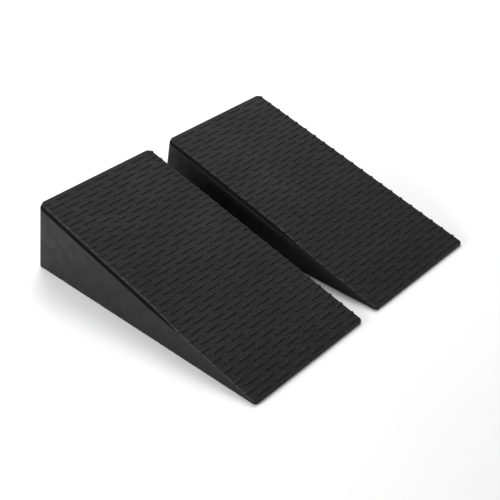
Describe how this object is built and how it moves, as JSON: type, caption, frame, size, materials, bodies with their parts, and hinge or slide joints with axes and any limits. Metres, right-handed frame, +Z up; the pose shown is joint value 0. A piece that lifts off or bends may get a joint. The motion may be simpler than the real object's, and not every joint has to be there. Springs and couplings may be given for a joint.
{
  "type": "leveling block set",
  "caption": "Pair of black wedge leveling ramps for a caravan or trailer wheel, each a ribbed hollow moulding with a barred tread mat on its slope and rubber feet beneath.",
  "frame": {"origin": "on the ground, in the middle of the pair's footprint", "axes": "+X across the pair from the left block to the right one, +Y up the slope from the thin toe to the tall heel, +Z up"},
  "size_m": [0.464, 0.43, 0.114],
  "materials": {
    "moulded_plastic": "smooth matt black structural plastic",
    "mat_rubber": "matt black rubber sheet",
    "foot_rubber": "dull black rubber"
  },
  "bodies": {
    "left_block": {"left_body": "moulded_plastic", "left_tread_mat": "mat_rubber", "left_foot_heel_left": "foot_rubber", "left_foot_heel_right": "foot_rubber", "left_foot_middle_left": "foot_rubber", "left_foot_middle_right": "foot_rubber", "left_foot_toe_left": "foot_rubber", "left_foot_toe_right": "foot_rubber"},
    "right_block": {"right_body": "moulded_plastic", "right_tread_mat": "mat_rubber", "right_foot_heel_left": "foot_rubber", "right_foot_heel_right": "foot_rubber", "right_foot_middle_left": "foot_rubber", "right_foot_middle_right": "foot_rubber", "right_foot_toe_left": "foot_rubber", "right_foot_toe_right": "foot_rubber"}
  },
  "joints": [
    {"name": "right_block_slide", "type": "slide", "parent": "left_block", "child": "right_block", "axis": [1, 0, 0], "range_m": [-0.02, 0.6]}
  ]
}
